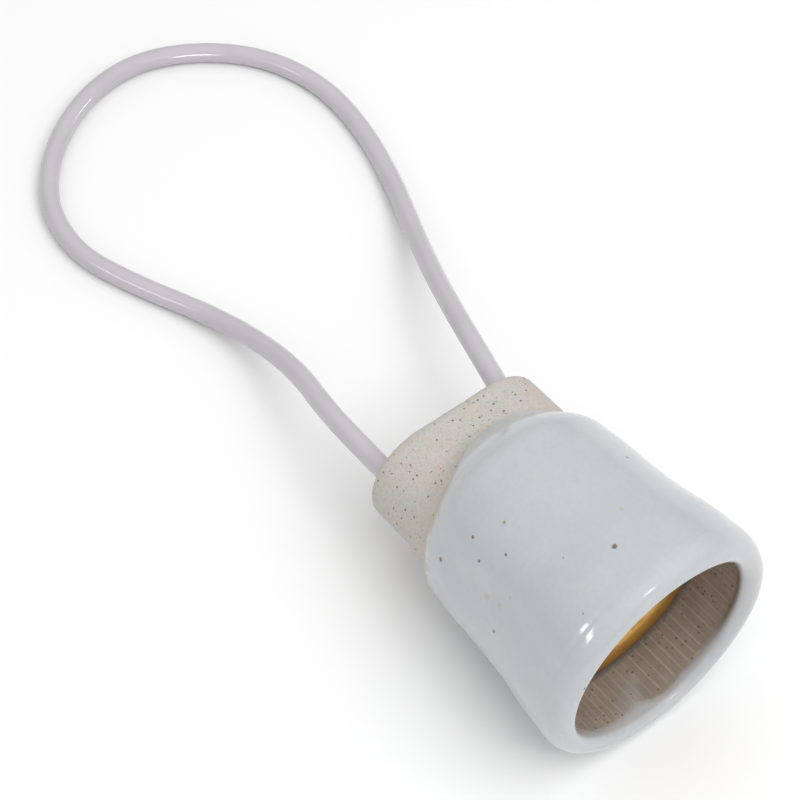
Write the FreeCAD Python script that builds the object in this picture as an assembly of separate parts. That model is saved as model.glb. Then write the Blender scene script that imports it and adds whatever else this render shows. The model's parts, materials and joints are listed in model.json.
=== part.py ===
import FreeCAD, Part
import math
import os

from FreeCAD import Vector

# Porcelain E27 lamp holder for a heat lamp, lying on its side with its two wires joined in one uncut loop.
#
# Two frames are used, both in millimetres.  The holder is drawn about its own axis: x runs from the rear face
# (x = 0) to the mouth, y runs across the wide way of the rear block and z through its thickness.  Every
# finished piece is then laid on the ground plane z = 0, where the holder rests on its shoulder and on its lip,
# so its mouth tilts up.  The wire loop is drawn in the ground frame from the start.

# ---- driving dimensions: porcelain ----
LIP_RADIUS = 22.4          # largest radius, over the rounded lip
LIP_ROUND = 2.8            # outer rounding of the lip
LIP_INNER_ROUND = 1.4      # rounding from the lip into the mouth
LENGTH = 53.0              # rear face to the front of the lip
MOUTH_RADIUS = 18.2        # straight wall inside the mouth
LEDGE_X = 41.3             # ledge that carries the flange of the screw shell
LEDGE_CORNER = 0.8         # rounding between the ledge and the mouth wall
BORE_RADIUS = 14.9         # clearance bore behind the ledge
FLOOR_X = 17.5             # front of the porcelain floor
SKIRT_RADIUS = 19.5        # skirt just in front of the shoulder
SHOULDER_X = 20.4          # where the shoulder becomes the skirt
SHOULDER_RADIUS = 10.1     # rounding of the shoulder where it turns into the skirt
SHOULDER_TURN = 20         # degrees of that rounding; behind it the shoulder fades back along these points
SHOULDER_POINTS = [(6.0, 9.4), (7.4, 11.4), (9.9, 14.1), (12.9, 16.5)]
SKIRT_POINTS = [(28.4, 20.0), (36.4, 20.7), (43.4, 21.7)]    # slow flare between shoulder and lip
LIP_TURN = 10              # degrees of the lip's rounding behind its widest circle, where the flare meets it
BLOCK_HALF_WIDTH = 17.3    # rear block, oval: 34.6 x 20
BLOCK_HALF_HEIGHT = 10.0
BLOCK_DEPTH = 16.0
BLOCK_EDGE_ROUND = 1.6
POCKET_HALF_WIDTH = 15.6   # wiring pocket in the rear face
POCKET_HALF_HEIGHT = 6.9
POCKET_DEPTH = 11.0

# ---- driving dimensions: brass shell ----
SHEET = 0.4                # thickness of shell and contact sheet
THREAD_MID_RADIUS = 12.8   # E27: 24.5 over the crests and 26.7 over the roots, inside
THREAD_WAVE = 0.55
THREAD_PITCH = 3.629
THREAD_TURNS = 5
THREAD_START = 20.6
FLANGE_RADIUS = 17.2       # flared lip of the shell
BASE_HOLE_RADIUS = 9.2     # opening in the shell's base ring

# ---- driving dimensions: contacts and fixings ----
RIVET_RADIUS = 1.2
RIVET_HOLE_RADIUS = 1.3
RIVET_HEAD_RADIUS = 1.9
RIVET_HEAD = 0.8
SHELL_RIVETS = [(-10.0, 3.9), (10.0, 3.9)]
CONTACT_RIVET = (0.0, -4.2)
TAG_THICKNESS = 0.5
TAG_HALF_WIDTH = 1.8
FOOT_WIDTH = 5.6
FOOT_REAR = -6.4           # z range of the contact foot
FOOT_FRONT = -2.2          # also the bend that the tongue hinges on
TONGUE_RISE = 3.4          # how far the tongue's tip stands off the foot
TONGUE_FLAT = (0.6, 3.4)   # z range of the flat tip
PIP_RADIUS = 1.2
PIP_HEIGHT = 0.9

# ---- driving dimensions: wires ----
WIRE_DIAMETER = 3.7
CORE_RADIUS = 0.65
FERRULE_RADIUS = 1.4
FERRULE_REAR = 5.4         # rear end of the crimp ferrules
STRIP_X = 5.0              # where the insulation ends, inside the pocket
COMPOUND_REAR = 0.9        # the compound stops this far inside the rear face
FERRULE_Y = {-1: -12.1, 1: 11.6}    # where the left and right ferrules stand

# Hand-laid route of the wire loop in the ground frame: out of the right hole, round behind the holder and back
# into the left hole.  The first and last points are where the wire leaves the pocket.
ROUTE = [
    (-26.9, 13.0, 17.5), (-35.1, 15.3, 16.7), (-47.0, 18.9, 14.4), (-59.5, 23.9, 10.0), (-72.0, 29.9, 4.8),
    (-84.5, 35.5, 2.0), (-98.0, 39.2, 1.85), (-111.5, 40.0, 1.85), (-123.5, 35.8, 1.85), (-132.6, 27.0, 1.85),
    (-138.2, 14.5, 1.85), (-136.8, 1.5, 1.85), (-129.8, -10.8, 1.85), (-119.0, -19.8, 1.85),
    (-106.0, -21.9, 1.85), (-93.5, -17.0, 1.85), (-81.5, -11.0, 2.4), (-69.0, -8.2, 5.6),
    (-56.5, -9.0, 11.2), (-45.5, -11.4, 14.6), (-36.0, -12.1, 16.6), (-26.9, -12.1, 17.5),
]

AXIS = Vector(1, 0, 0)


def sweep_round(edges):
    """Turn a closed outline, given as edges in any order, into a solid of revolution about the axis."""
    face = Part.Face(Part.Wire(Part.__sortEdges__(edges)))
    return face.revolve(Vector(0, 0, 0), AXIS, 360)


def line(start, end):
    return Part.LineSegment(Vector(start[0], start[1], 0), Vector(end[0], end[1], 0)).toShape()


def arc(start, middle, end):
    return Part.Arc(*[Vector(p[0], p[1], 0) for p in (start, middle, end)]).toShape()


def on_circle(centre, radius, degrees):
    turn = math.radians(degrees)
    return (centre[0] + radius * math.cos(turn), centre[1] + radius * math.sin(turn))


def oval(half_width, half_height, x_from, x_to):
    """Bar of stadium section along the axis: flat above and below, half-round at both sides."""
    reach = half_width - half_height
    corners = [Vector(x_from, y, z) for y, z in
               ((-reach, half_height), (reach, half_height), (reach, -half_height), (-reach, -half_height))]
    edges = [
        Part.LineSegment(corners[0], corners[1]),
        Part.Arc(corners[1], Vector(x_from, half_width, 0), corners[2]),
        Part.LineSegment(corners[2], corners[3]),
        Part.Arc(corners[3], Vector(x_from, -half_width, 0), corners[0]),
    ]
    face = Part.Face(Part.Wire([edge.toShape() for edge in edges]))
    return face.extrude(Vector(x_to - x_from, 0, 0))


def disc(radius, x_from, x_to, y=0.0, z=0.0):
    return Part.makeCylinder(radius, x_to - x_from, Vector(x_from, y, z), AXIS)


def bar_between(start, end, half_width, x_from, thickness):
    """Flat strip with rounded ends, lying across the axis, from one (y, z) point to another."""
    dy, dz = end[0] - start[0], end[1] - start[1]
    length = math.hypot(dy, dz)
    strip = Part.makeBox(thickness, length, 2 * half_width, Vector(0, 0, -half_width))
    strip.rotate(Vector(0, 0, 0), AXIS, math.degrees(math.atan2(dz, dy)))
    strip.translate(Vector(x_from, start[0], start[1]))
    ends = [disc(half_width, x_from, x_from + thickness, y, z) for y, z in (start, end)]
    return strip.multiFuse(ends).removeSplitter()


# ---- where the holder rests ----

def lie_down():
    """Angle of the axis and height of the rear face's centre when shoulder and lip both touch the ground."""
    shoulder = (SHOULDER_X, SKIRT_RADIUS - SHOULDER_RADIUS)
    lip = (LENGTH - LIP_ROUND, LIP_RADIUS - LIP_ROUND)
    run = lip[0] - shoulder[0]
    drop = lip[1] - shoulder[1]
    tilt = math.atan2(drop, run) + math.asin((LIP_ROUND - SHOULDER_RADIUS) / math.hypot(run, drop))
    height = lip[1] * math.cos(tilt) - lip[0] * math.sin(tilt) + LIP_ROUND
    return math.degrees(tilt), height


TILT, REAR_HEIGHT = lie_down()


# ---- porcelain ----

def outer_form():
    """Bell of the body as a solid of revolution: shoulder, flared skirt and rounded lip."""
    centre = (SHOULDER_X, SKIRT_RADIUS - SHOULDER_RADIUS)
    start = SHOULDER_POINTS[0]
    turn_start = on_circle(centre, SHOULDER_RADIUS, 90 + SHOULDER_TURN)
    turn_middle = on_circle(centre, SHOULDER_RADIUS, 90 + SHOULDER_TURN / 2)
    shoulder_end = (SHOULDER_X, SKIRT_RADIUS)

    lip_centre = (LENGTH - LIP_ROUND, LIP_RADIUS - LIP_ROUND)
    lip_start = on_circle(lip_centre, LIP_ROUND, 90 + LIP_TURN)
    lip_front = (LENGTH, lip_centre[1])

    shoulder = Part.BSplineCurve()
    shoulder.interpolate(Points=[Vector(x, r, 0) for x, r in SHOULDER_POINTS + [turn_start]],
                         InitialTangent=Vector(1, 2, 0),
                         FinalTangent=Vector(*on_circle((0, 0), 1, SHOULDER_TURN), 0))

    flare = Part.BSplineCurve()
    flare.interpolate(Points=[Vector(x, r, 0) for x, r in [shoulder_end] + SKIRT_POINTS + [lip_start]],
                      InitialTangent=Vector(1, 0, 0), FinalTangent=Vector(*on_circle((0, 0), 1, LIP_TURN), 0))

    edges = [
        line((start[0], 0), start),
        shoulder.toShape(),
        arc(turn_start, turn_middle, shoulder_end),
        flare.toShape(),
        arc(lip_start, on_circle(lip_centre, LIP_ROUND, 45), lip_front),
        line(lip_front, (LENGTH, 0)),
        line((LENGTH, 0), (start[0], 0)),
    ]
    return sweep_round(edges)


def inner_form():
    """Space inside the bell: shell bore, ledge, straight mouth wall and rounded opening."""
    beyond = LENGTH + 5.0
    lip_r = MOUTH_RADIUS + LIP_INNER_ROUND
    bend_centre = (LENGTH - LIP_INNER_ROUND, lip_r)
    wall_end = (bend_centre[0], MOUTH_RADIUS)
    corner_centre = (LEDGE_X + LEDGE_CORNER, MOUTH_RADIUS - LEDGE_CORNER)
    corner_start = (LEDGE_X, corner_centre[1])
    wall_start = (corner_centre[0], MOUTH_RADIUS)
    edges = [
        line((FLOOR_X, 0), (FLOOR_X, BORE_RADIUS)),
        line((FLOOR_X, BORE_RADIUS), (LEDGE_X, BORE_RADIUS)),
        line((LEDGE_X, BORE_RADIUS), corner_start),
        arc(corner_start, on_circle(corner_centre, LEDGE_CORNER, 135), wall_start),
        line(wall_start, wall_end),
        arc(wall_end, on_circle(bend_centre, LIP_INNER_ROUND, -45), (LENGTH, lip_r)),
        line((LENGTH, lip_r), (beyond, lip_r)),
        line((beyond, lip_r), (beyond, 0)),
        line((beyond, 0), (FLOOR_X, 0)),
    ]
    return sweep_round(edges)


def porcelain_body():
    block = oval(BLOCK_HALF_WIDTH, BLOCK_HALF_HEIGHT, 0, BLOCK_DEPTH)
    rear_edges = [edge for edge in block.Edges if edge.BoundBox.XMax < 0.01]
    block = block.makeFillet(BLOCK_EDGE_ROUND * 0.999, rear_edges)
    body = outer_form().fuse(block)
    body = body.cut(inner_form())
    body = body.cut(oval(POCKET_HALF_WIDTH, POCKET_HALF_HEIGHT, -1, POCKET_DEPTH))
    for y, z in SHELL_RIVETS + [CONTACT_RIVET]:
        body = body.cut(disc(RIVET_HOLE_RADIUS, POCKET_DEPTH - 1, FLOOR_X + 1, y, z))
    return body


# ---- brass shell ----

def thread_arcs(offset):
    """Knuckle thread as arcs that bulge out and in by turns; offset moves the line outwards."""
    half = THREAD_PITCH / 2
    knuckle = (half * half / 4 + THREAD_WAVE ** 2) / (2 * THREAD_WAVE)
    spread = math.degrees(math.asin(half / 2 / knuckle))
    arcs = []
    for turn in range(2 * THREAD_TURNS):
        middle_x = THREAD_START + half * (turn + 0.5)
        bulge = 1 if turn % 2 == 0 else -1
        centre = (middle_x, THREAD_MID_RADIUS + bulge * (THREAD_WAVE - knuckle))
        radius = knuckle + bulge * offset
        angles = [90 * bulge + bulge * side * spread for side in (1, 0, -1)]
        arcs.append([on_circle(centre, radius, angle) for angle in angles])
    return arcs


def screw_shell():
    """Rolled sleeve with a base ring on the porcelain floor and a flange on the ledge.

    The thread is drawn as rings of the thread's pitch and profile, without its helix.
    """
    inside, outside = thread_arcs(0.0), thread_arcs(SHEET)
    wall = THREAD_MID_RADIUS
    base = FLOOR_X + SHEET
    bend = 1.6
    flange_top = LEDGE_X + SHEET
    inner_start, inner_end = inside[0][0], inside[-1][2]
    outer_start, outer_end = outside[0][0], outside[-1][2]
    outer_wall = wall + SHEET
    bend_centre = (LEDGE_X - bend, outer_wall + bend)
    edges = [arc(*points) for points in inside + outside]
    edges += [
        line((base, BASE_HOLE_RADIUS), (base, wall)),
        line((base, wall), (inner_start[0] - 0.4, wall)),
        line((inner_start[0] - 0.4, wall), inner_start),
        line(inner_end, (bend_centre[0], wall)),
        arc((bend_centre[0], wall), on_circle(bend_centre, bend + SHEET, -45), (flange_top, bend_centre[1])),
        line((flange_top, bend_centre[1]), (flange_top, FLANGE_RADIUS)),
        line((flange_top, FLANGE_RADIUS), (LEDGE_X, FLANGE_RADIUS)),
        line((LEDGE_X, FLANGE_RADIUS), (LEDGE_X, bend_centre[1])),
        arc((LEDGE_X, bend_centre[1]), on_circle(bend_centre, bend, -45), (bend_centre[0], outer_wall)),
        line((bend_centre[0], outer_wall), outer_end),
        line(outer_start, (inner_start[0] - 0.8, outer_wall)),
        line((inner_start[0] - 0.8, outer_wall), (FLOOR_X, outer_wall)),
        line((FLOOR_X, outer_wall), (FLOOR_X, BASE_HOLE_RADIUS)),
        line((FLOOR_X, BASE_HOLE_RADIUS), (base, BASE_HOLE_RADIUS)),
    ]
    return sweep_round(edges)


# ---- rivets, contact and terminals ----

def shell_base_cut(shell):
    for y, z in SHELL_RIVETS:
        shell = shell.cut(disc(RIVET_HOLE_RADIUS, FLOOR_X - 1, FLOOR_X + 1, y, z))
    return shell


def round_front_edge(button, radius):
    """Round the circular edge at the front of a short cylinder."""
    front = button.BoundBox.XMax - 0.01
    crown = [edge for edge in button.Edges if edge.BoundBox.XMin > front]
    return button.makeFillet(radius, crown)


def rivet(y, z, head_top=FLOOR_X + SHEET, tail_top=POCKET_DEPTH - TAG_THICKNESS):
    """Solid rivet through the porcelain floor, headed at both ends."""
    shank = disc(RIVET_RADIUS, tail_top - RIVET_HEAD / 2, head_top + RIVET_HEAD / 2, y, z)
    head = round_front_edge(disc(RIVET_HEAD_RADIUS, head_top, head_top + RIVET_HEAD, y, z), RIVET_HEAD * 0.6)
    tail = disc(RIVET_HEAD_RADIUS, tail_top - RIVET_HEAD, tail_top, y, z)
    return shank.multiFuse([head, tail]).removeSplitter()


def contact_foot():
    foot = Part.makeBox(SHEET, FOOT_WIDTH, FOOT_FRONT - FOOT_REAR, Vector(FLOOR_X, -FOOT_WIDTH / 2, FOOT_REAR))
    return foot.cut(disc(RIVET_HOLE_RADIUS, FLOOR_X - 1, FLOOR_X + 1, *CONTACT_RIVET))


def contact_tongue():
    """Springy tongue that rises from the foot's front edge to the axis, with a dimpled pip at its tip."""
    half = FOOT_WIDTH / 2 - 0.6
    top = FLOOR_X + SHEET + TONGUE_RISE
    flat_start, flat_end = TONGUE_FLAT
    outline = [
        (FLOOR_X, FOOT_FRONT), (FLOOR_X + SHEET, FOOT_FRONT), (top, flat_start), (top, flat_end),
        (top - SHEET, flat_end), (top - SHEET, flat_start + 0.2),
    ]
    corners = [Vector(x, -half, z) for x, z in outline]
    face = Part.Face(Part.makePolygon(corners + corners[:1]))
    return face.extrude(Vector(0, 2 * half, 0))


def contact_pip():
    top = FLOOR_X + SHEET + TONGUE_RISE
    pip = disc(PIP_RADIUS, top, top + PIP_HEIGHT, 0, sum(TONGUE_FLAT) / 2)
    return round_front_edge(pip, PIP_HEIGHT * 0.6)


def terminal_tag(start, end):
    tag = bar_between(start, end, TAG_HALF_WIDTH, POCKET_DEPTH - TAG_THICKNESS, TAG_THICKNESS)
    return tag.cut(disc(RIVET_HOLE_RADIUS, POCKET_DEPTH - 1, POCKET_DEPTH + 1, *start))


def rivet_washer(y, z):
    washer = disc(RIVET_HEAD_RADIUS + 0.1, POCKET_DEPTH - TAG_THICKNESS, POCKET_DEPTH, y, z)
    return washer.cut(disc(RIVET_HOLE_RADIUS, POCKET_DEPTH - 1, POCKET_DEPTH + 1, y, z))


def ferrule(side):
    rear, front = FERRULE_REAR, POCKET_DEPTH - TAG_THICKNESS
    sleeve = disc(FERRULE_RADIUS, rear, front, FERRULE_Y[side])
    return sleeve.cut(disc(CORE_RADIUS, rear - 1, front + 1, FERRULE_Y[side]))


def copper_core(side):
    return disc(CORE_RADIUS, STRIP_X, POCKET_DEPTH - TAG_THICKNESS, FERRULE_Y[side])


# ---- from the holder's own frame to the ground frame ----

def resting_place(body):
    """Placement that lays the holder down with the middle of its length over the origin."""
    turn = FreeCAD.Rotation(Vector(0, 1, 0), -TILT)
    turned = body.copy()
    turned.Placement = FreeCAD.Placement(Vector(0, 0, 0), turn)
    box = turned.optimalBoundingBox(False, False)
    return FreeCAD.Placement(Vector(-(box.XMin + box.XMax) / 2, 0, REAR_HEIGHT), turn)


# ---- wires ----

def lead_end(place, side, exit_point, next_point):
    """Stretch of insulation inside the pocket, ending square to the loop's first run at its exit."""
    start = place.multVec(Vector(STRIP_X, FERRULE_Y[side], 0))
    leave = (next_point - exit_point).normalize()
    radius = WIRE_DIAMETER / 2
    inward = (start - exit_point).Length + radius
    rod = Part.makeCylinder(radius, inward, exit_point - leave * inward, leave)
    keep = Part.makeBox(STRIP_X + 20, 60, 60, Vector(-20, -30, -30))
    keep.Placement = place.multiply(keep.Placement)
    return rod.common(keep)


def loop_path(points):
    """Straight runs joined by tangent arcs, each arc as large as its two runs allow."""
    edges = []
    start = points[0]
    radii = []
    for before, corner, after in zip(points, points[1:], points[2:]):
        back, ahead = before - corner, after - corner
        run = min(back.Length, ahead.Length)
        back_way, ahead_way = Vector(back).normalize(), Vector(ahead).normalize()
        turn = math.pi - back_way.getAngle(ahead_way)
        reach = 0.45 * run
        radius = reach / math.tan(turn / 2)
        radii.append(radius)
        first, last = corner + back_way * reach, corner + ahead_way * reach
        bisector = (back_way + ahead_way).normalize()
        middle = corner + bisector * (radius / math.cos(turn / 2) - radius)
        edges.append(Part.LineSegment(start, first).toShape())
        edges.append(Part.Arc(first, middle, last).toShape())
        start = last
    edges.append(Part.LineSegment(start, points[-1]).toShape())
    return Part.Wire(edges), radii


def lead_loop():
    points = [Vector(*point) for point in ROUTE]
    path, radii = loop_path(points)
    leave = (points[1] - points[0]).normalize()
    section = Part.Wire(Part.makeCircle(WIRE_DIAMETER / 2, points[0], leave))
    tube = path.makePipeShell([section], True, False)
    expected = math.pi * WIRE_DIAMETER ** 2 / 4 * path.Length
    print("loop length %.1f mm, smallest radius %.1f mm" % (path.Length, min(radii)))
    print("radii", " ".join("%.0f" % radius for radius in radii))
    print("loop volume / (section x length) = %.4f" % (tube.Volume / expected))
    return tube


def sealing_compound(place, buried):
    """Filling of the wiring pocket, cast round everything that sits in it."""
    filling = oval(POCKET_HALF_WIDTH, POCKET_HALF_HEIGHT, COMPOUND_REAR, POCKET_DEPTH)
    for y, z in SHELL_RIVETS + [CONTACT_RIVET]:
        filling = filling.cut(disc(RIVET_HOLE_RADIUS, POCKET_DEPTH - 1, POCKET_DEPTH + 1, y, z))
    filling.Placement = place
    for piece in buried:
        filling = filling.cut(piece)
    return filling


def build():
    body = porcelain_body()
    place = resting_place(body)
    contact_end = (FERRULE_Y[1], 0.0)
    shell_end = (FERRULE_Y[-1], 0.0)
    local = {
        "porcelain_body": body,
        "screw_shell": shell_base_cut(screw_shell()),
        "shell_rivet_left": rivet(*SHELL_RIVETS[0]),
        "shell_rivet_right": rivet(*SHELL_RIVETS[1]),
        "contact_rivet": rivet(*CONTACT_RIVET),
        "rivet_washer": rivet_washer(*SHELL_RIVETS[1]),
        "shell_terminal_tag": terminal_tag(SHELL_RIVETS[0], shell_end),
        "contact_terminal_tag": terminal_tag(CONTACT_RIVET, contact_end),
        "contact_foot": contact_foot(),
        "contact_tongue": contact_tongue(),
        "contact_pip": contact_pip(),
        "ferrule_left": ferrule(-1),
        "ferrule_right": ferrule(1),
        "copper_core_left": copper_core(-1),
        "copper_core_right": copper_core(1),
    }
    parts = {}
    for name, shape in local.items():
        shape.Placement = place.multiply(shape.Placement)
        parts[name] = shape
    points = [Vector(*point) for point in ROUTE]
    parts["lead_end_right"] = lead_end(place, 1, points[0], points[1])
    parts["lead_end_left"] = lead_end(place, -1, points[-1], points[-2])
    outside = ("porcelain_body", "screw_shell", "contact_foot", "contact_tongue", "contact_pip")
    buried = [shape for name, shape in parts.items() if name not in outside]
    parts["sealing_compound"] = sealing_compound(place, buried)
    parts["lead_loop"] = lead_loop()
    return parts, place


def main():
    parts, place = build()
    os.makedirs("parts", exist_ok=True)
    for name, shape in parts.items():
        if not shape.isValid() or len(shape.Solids) != 1:
            print("CHECK", name, "valid", shape.isValid(), "solids", len(shape.Solids))
        shape.exportStep("parts/%s.step" % name)
    print("tilt %.3f degrees, rear face centre at %s" % (TILT, place.Base))
    lowest = min(shape.optimalBoundingBox(False, False).ZMin for shape in parts.values())
    print("lowest point %.3f mm" % lowest)
    print("tongue bend at %s" % place.multVec(Vector(FLOOR_X, 0, FOOT_FRONT)))
    print("%d pieces" % len(parts))


main()
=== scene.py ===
import json
import math

import bmesh
import bpy
import numpy as np
from mathutils import Matrix, Vector


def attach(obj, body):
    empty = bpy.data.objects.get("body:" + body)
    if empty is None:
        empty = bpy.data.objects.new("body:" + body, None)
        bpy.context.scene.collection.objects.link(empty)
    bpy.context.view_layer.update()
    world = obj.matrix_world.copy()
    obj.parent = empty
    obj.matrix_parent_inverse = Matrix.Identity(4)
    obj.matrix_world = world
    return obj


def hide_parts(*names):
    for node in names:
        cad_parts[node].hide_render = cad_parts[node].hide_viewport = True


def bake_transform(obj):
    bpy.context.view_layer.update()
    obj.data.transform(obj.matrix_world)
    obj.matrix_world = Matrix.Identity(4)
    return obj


# Porcelain lamp holder with a wire loop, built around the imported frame.  Lengths are millimetres in the
# holder's own frame (x from the rear face to the mouth, y across, z up).  The camera, the lights, the floor
# and the wire's route are in metres in the ground frame.  Angles round the holder start at +y and turn to +z.

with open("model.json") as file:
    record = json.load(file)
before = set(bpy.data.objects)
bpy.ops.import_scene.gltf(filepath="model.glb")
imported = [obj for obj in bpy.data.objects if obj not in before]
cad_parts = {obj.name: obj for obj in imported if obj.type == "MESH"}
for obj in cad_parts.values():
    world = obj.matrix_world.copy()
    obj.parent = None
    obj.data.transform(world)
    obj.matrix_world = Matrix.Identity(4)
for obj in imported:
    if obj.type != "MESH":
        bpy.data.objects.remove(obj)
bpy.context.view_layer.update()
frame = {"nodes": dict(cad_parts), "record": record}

MM = 0.001
TAU = 2 * math.pi

# ---- driving dimensions, as in the frame but for a softer lip and flare ----
LENGTH = 53.0
LIP_RADIUS, LIP_ROUND, LIP_ROUND_LENGTH, LIP_INNER_ROUND = 22.4, 2.8, 3.5, 1.4
MOUTH_RADIUS = 18.2
MOUTH_MIDDLE_X = 46.85
LIP_TURN = 10
LEDGE_X, LEDGE_CORNER = 41.3, 0.8
BORE_RADIUS, FLOOR_X = 14.9, 17.5
SHOULDER_X, SKIRT_RADIUS = 20.4, 19.5
BELL_POINTS = [(6.0, 9.4), (7.4, 11.4), (9.9, 14.1), (12.9, 16.5), (16.95, 18.89), (SHOULDER_X, SKIRT_RADIUS),
               (28.4, 20.0), (36.4, 20.7), (43.4, 21.75), (48.89, 22.357)]
BLOCK_HALF_WIDTH, BLOCK_HALF_HEIGHT, BLOCK_EDGE_ROUND = 17.3, 10.0, 1.6
POCKET_HALF_WIDTH, POCKET_HALF_HEIGHT, POCKET_DEPTH = 15.6, 6.9, 11.0
COMPOUND_REAR = 0.9
SHEET = 0.4
THREAD_MID_RADIUS, THREAD_WAVE, THREAD_PITCH, THREAD_TURNS, THREAD_START = 12.8, 0.55, 3.629, 5, 20.6
FLANGE_RADIUS, BASE_HOLE_RADIUS = 17.2, 9.2
WIRE_DIAMETER = 3.7

# ---- the holder's own frame, read from the mouth's mount ----
MOUTH = next(mount for mount in frame["record"]["mounts"] if mount["name"] == "mouth_wall")
AXIS = Vector(MOUTH["axis"]).normalized()
ACROSS = Vector((0, 1, 0))
RISE = AXIS.cross(ACROSS)
REAR = Vector(MOUTH["pos_m"]) - AXIS * MOUTH_MIDDLE_X * MM
HOLDER = Matrix.Translation(REAR) @ Matrix((AXIS, ACROSS, RISE)).transposed().to_4x4() @ Matrix.Scale(MM, 4)


# ---- camera, light and floor ----

def camera():
    distance = 0.394
    data = bpy.data.cameras.new("camera")
    data.lens = 103.5
    data.sensor_width = 36.0
    data.clip_start, data.clip_end = 0.01, 10.0
    eye = bpy.data.objects.new("camera", data)
    bpy.context.scene.collection.objects.link(eye)
    azimuth, elevation, roll = math.radians(45.61), math.radians(55.72), math.radians(7.04)
    back = Vector((math.sin(azimuth) * math.cos(elevation), -math.cos(azimuth) * math.cos(elevation),
                   math.sin(elevation)))
    level = Vector((math.cos(azimuth), math.sin(azimuth), 0))
    upright = back.cross(level)
    right = level * math.cos(roll) + upright * math.sin(roll)
    up = back.cross(right)
    target = Vector((-0.0412, 0.0013, 0.0118))
    turned_to_view = Matrix((right, up, back)).transposed().to_4x4()
    eye.matrix_world = Matrix.Translation(target + back * distance) @ turned_to_view
    bpy.context.scene.camera = eye


camera()


def area_light(name, place, target, size, power):
    data = bpy.data.lights.new(name, "AREA")
    data.shape = "RECTANGLE"
    data.size, data.size_y = size
    data.energy = power
    lamp = bpy.data.objects.new(name, data)
    bpy.context.scene.collection.objects.link(lamp)
    lamp.location = place
    lamp.rotation_mode = "QUATERNION"
    lamp.rotation_quaternion = (Vector(target) - Vector(place)).to_track_quat("-Z", "Y")
    return lamp


def studio():
    """Sky that brightens upwards, a broad soft light, and small cards for the highlights of the glaze."""
    scene = bpy.context.scene
    scene.view_settings.view_transform = "Standard"
    world = bpy.data.worlds.new("studio")
    scene.world = world
    world.use_nodes = True
    tree = world.node_tree
    direction = tree.nodes.new("ShaderNodeSeparateXYZ")
    tree.links.new(tree.nodes.new("ShaderNodeTexCoord").outputs["Generated"], direction.inputs[0])
    sky = tree.nodes.new("ShaderNodeMapRange")
    for name, value in (("From Min", 0.0), ("From Max", 0.9), ("To Min", 0.48), ("To Max", 0.94)):
        sky.inputs[name].default_value = value
    tree.links.new(direction.outputs["Z"], sky.inputs["Value"])
    tree.links.new(sky.outputs[0], tree.nodes["Background"].inputs["Strength"])
    tree.nodes["Background"].inputs["Color"].default_value = (1, 1, 1, 1)
    overhead = area_light("overhead", (0.2, 0.04, 0.58), (0.0, 0, 0.02), (0.5, 0.45), 1.6)
    overhead.visible_glossy = False
    bell = (0.02, 0, 0.03)
    area_light("front_strip", (0.40, 0.02, 0.51), bell, (0.09, 0.09), 0.22)
    side = area_light("side_strip", (-0.08, -0.50, 0.34), bell, (0.25, 0.08), 0.55)
    side.visible_diffuse = False
    area_light("front_card", (0.55, 0.12, 0.12), bell, (0.16, 0.12), 0.07)


studio()


# ---- shading helpers ----

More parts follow.
